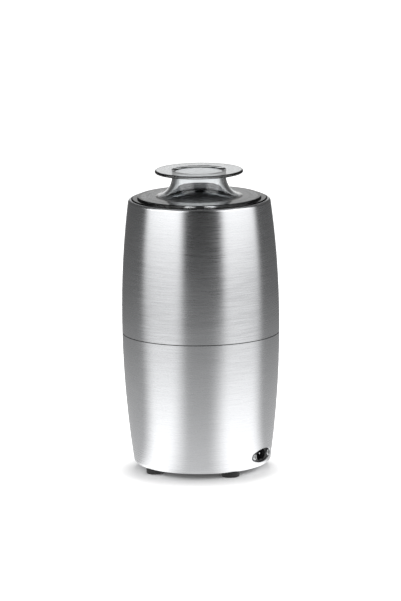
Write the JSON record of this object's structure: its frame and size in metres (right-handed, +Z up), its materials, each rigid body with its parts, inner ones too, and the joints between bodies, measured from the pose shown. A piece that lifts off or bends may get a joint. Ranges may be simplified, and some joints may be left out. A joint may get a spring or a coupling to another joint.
{
  "type": "electric spice grinder",
  "caption": "Barrel-shaped electric spice grinder in brushed steel with a clear press-down lid, a lift-out bladed bowl, a brushed motor, a rear power inlet and rubber feet.",
  "frame": {"origin": "centre of the round body on the surface that the feet stand on", "axes": "+Z up along the body's axis, +Y towards the power inlet at the rear, +X to its right-hand side seen from the front"},
  "size_m": [0.13, 0.13, 0.2496],
  "materials": {
    "shell_steel": "fine brushed stainless steel, satin",
    "bowl_steel": "polished stainless steel",
    "blade_steel": "ground stainless steel",
    "clear_plastic": "clear polished plastic",
    "black_plastic": "fine-grained black plastic",
    "gloss_black_plastic": "polished black plastic",
    "black_rubber": "soft black rubber",
    "coupling_plastic": "dark grey engineering plastic",
    "zinc_steel": "zinc-plated steel",
    "spring_steel": "drawn spring steel",
    "bearing_steel": "ground bearing steel",
    "bush_bronze": "sintered bronze",
    "lamination_steel": "stacked electrical steel sheets",
    "copper": "enamelled copper wire and copper bars",
    "holder_brass": "stamped brass",
    "carbon": "pressed carbon",
    "cast_aluminium": "die-cast aluminium",
    "board_laminate": "glass-fibre laminate with green resist",
    "capacitor_case": "moulded yellow case",
    "white_plastic": "off-white moulded plastic",
    "switch_case": "moulded black case",
    "lead_insulation": "blue insulation"
  },
  "bodies": {
    "housing": {"upper_shell": "shell_steel", "lower_shell": "shell_steel", "deck_frame": "black_plastic", "base_plate": "black_plastic", "feet": "black_rubber", "foot_screws": "zinc_steel", "inlet_housing": "black_plastic", "inlet_pins": "bearing_steel", "inlet_screws": "zinc_steel", "bowl_well": "black_plastic", "well_screws": "zinc_steel", "micro_switch": "switch_case", "switch_screws": "zinc_steel", "upper_bearing": "bearing_steel", "lower_bearing": "bearing_steel", "stator_stack": "lamination_steel", "field_coils": "copper", "upper_end_bell": "cast_aluminium", "lower_end_bell": "cast_aluminium", "tie_screws": "zinc_steel", "tie_nuts": "zinc_steel", "motor_dampers": "black_rubber", "motor_screws": "zinc_steel", "motor_nuts": "zinc_steel", "brush_holders": "holder_brass", "brushes": "carbon", "brush_springs": "spring_steel", "circuit_board": "board_laminate", "filter_capacitor": "capacitor_case", "thermal_cutout": "white_plastic", "mains_leads": "lead_insulation", "motor_leads": "lead_insulation", "switch_leads": "lead_insulation", "return_springs": "spring_steel"},
    "press_ring": {"press_ring": "gloss_black_plastic", "leg_clips": "zinc_steel", "push_rod": "black_plastic"},
    "lid": {"lid": "clear_plastic"},
    "bowl": {"grinding_bowl": "bowl_steel", "bowl_base": "black_plastic", "blade_bush": "bush_bronze", "bush_nut": "zinc_steel", "shaft_seal": "black_rubber"},
    "blade": {"blade_shaft": "blade_steel", "blade": "blade_steel", "blade_washer": "blade_steel", "blade_nut": "blade_steel", "blade_coupling": "coupling_plastic"},
    "rotor": {"motor_shaft": "bearing_steel", "armature_core": "lamination_steel", "armature_winding": "copper", "commutator": "copper", "cooling_fan": "coupling_plastic", "fan_clip": "zinc_steel", "drive_coupling": "coupling_plastic"},
    "switch_lever": {"switch_lever": "spring_steel"},
    "switch_button": {"switch_button": "white_plastic"}
  },
  "joints": [
    {"name": "lid_press", "type": "slide", "parent": "housing", "child": "press_ring", "axis": [0, 0, 1], "range_m": [-0.0025, 0], "stiffness_N_per_m": 1200, "springref_m": 0.003, "deforming": ["return_springs"]},
    {"name": "lid_lift", "type": "slide", "parent": "press_ring", "child": "lid", "axis": [0, 0, 1], "range_m": [0, 0.17]},
    {"name": "bowl_lift", "type": "slide", "parent": "housing", "child": "bowl", "axis": [0, 0, 1], "range_m": [0, 0.085]},
    {"name": "motor_spin", "type": "hinge", "parent": "housing", "child": "rotor", "pos_m": [0, 0, 0.078], "axis": [0, 0, 1], "continuous": true},
    {"name": "blade_spin", "type": "hinge", "parent": "bowl", "child": "blade", "pos_m": [0, 0, 0.155], "axis": [0, 0, 1], "continuous": true},
    {"name": "switch_lever_turn", "type": "hinge", "parent": "housing", "child": "switch_lever", "pos_m": [-0.04253, -0.02938, 0.1323], "axis": [-0.7071, -0.7071, 0], "range_deg": [-15.5, 0]},
    {"name": "switch_button_press", "type": "slide", "parent": "housing", "child": "switch_button", "axis": [0, 0, 1], "range_m": [-0.0009, 0]}
  ],
  "couplings": [
    {"joint": "bowl_lift", "follows": "lid_lift", "ratio": 0.5},
    {"joint": "blade_spin", "follows": "motor_spin", "ratio": 1},
    {"joint": "switch_lever_turn", "follows": "lid_press", "rad_per_m": 105.4},
    {"joint": "switch_button_press", "follows": "lid_press", "ratio": 0.34}
  ]
}
